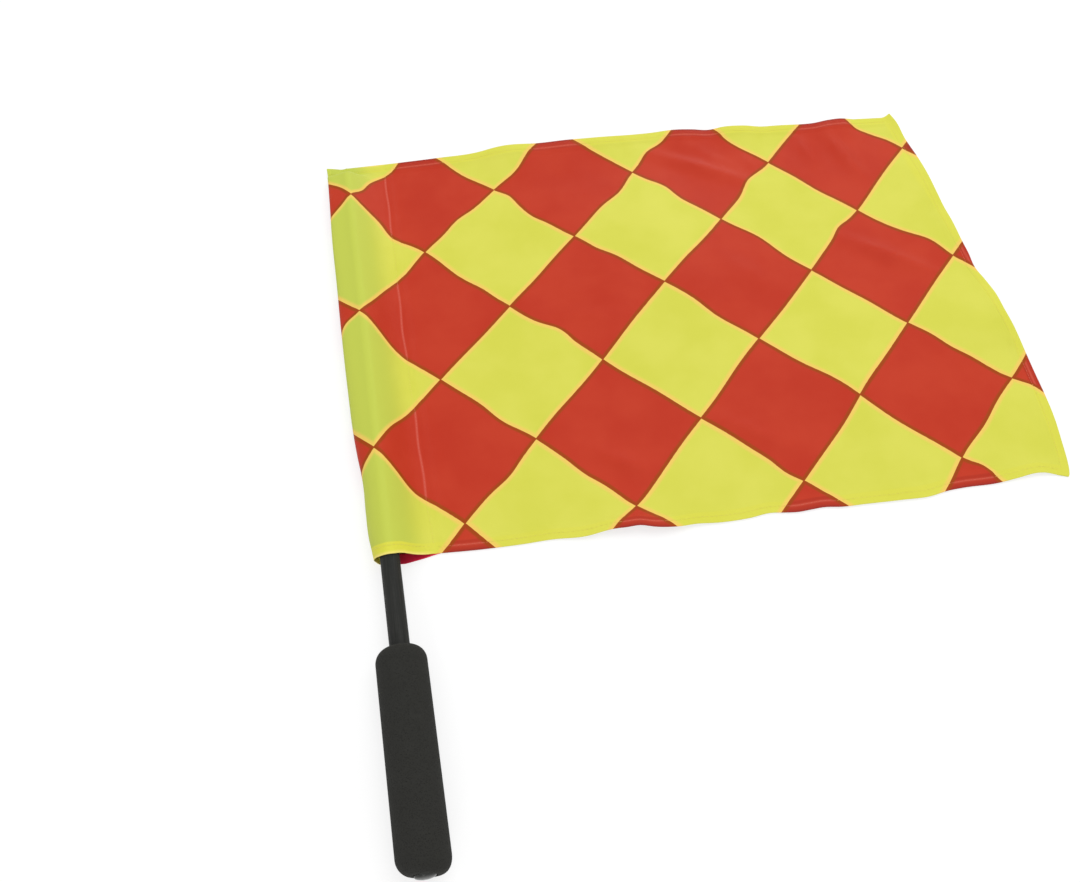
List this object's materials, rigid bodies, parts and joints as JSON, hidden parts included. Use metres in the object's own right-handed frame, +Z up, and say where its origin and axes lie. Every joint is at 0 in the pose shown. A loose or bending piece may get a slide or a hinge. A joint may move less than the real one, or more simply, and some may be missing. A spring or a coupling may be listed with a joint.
{
  "type": "linesman flag",
  "caption": "Hand-held signal flag: a diamond-check cloth with a sleeve that turns on a slim pole, and a foam grip with a domed butt plug.",
  "frame": {"origin": "under the middle of the whole flag, on the surface that it lies on", "axes": "+Y along the pole from the butt to the tip, +X from the pole towards the cloth's fly edge, +Z up from the surface"},
  "size_m": [0.443, 0.492, 0.0297],
  "materials": {
    "pole_plastic": "matte",
    "grip_foam": "matte",
    "plug_plastic": "gloss",
    "printed_cloth": "thin woven polyester, printed",
    "sewing_thread": "polyester thread"
  },
  "bodies": {
    "pole": {"pole_tube": "pole_plastic", "foam_grip": "grip_foam", "pole_top_plug": "plug_plastic", "butt_plug": "plug_plastic"},
    "cloth": {"flag_cloth": "printed_cloth", "sleeve_seam_thread": "sewing_thread", "bottom_hem_thread": "sewing_thread", "top_hem_thread": "sewing_thread", "fly_hem_thread": "sewing_thread", "mouth_hem_thread": "sewing_thread", "sleeve_closing_thread": "sewing_thread"}
  },
  "joints": [
    {"name": "cloth_turn", "type": "hinge", "parent": "pole", "child": "cloth", "pos_m": [-0.2065, -0.07302, 0.01266], "axis": [0, 0.9998, -0.0193], "continuous": true}
  ]
}
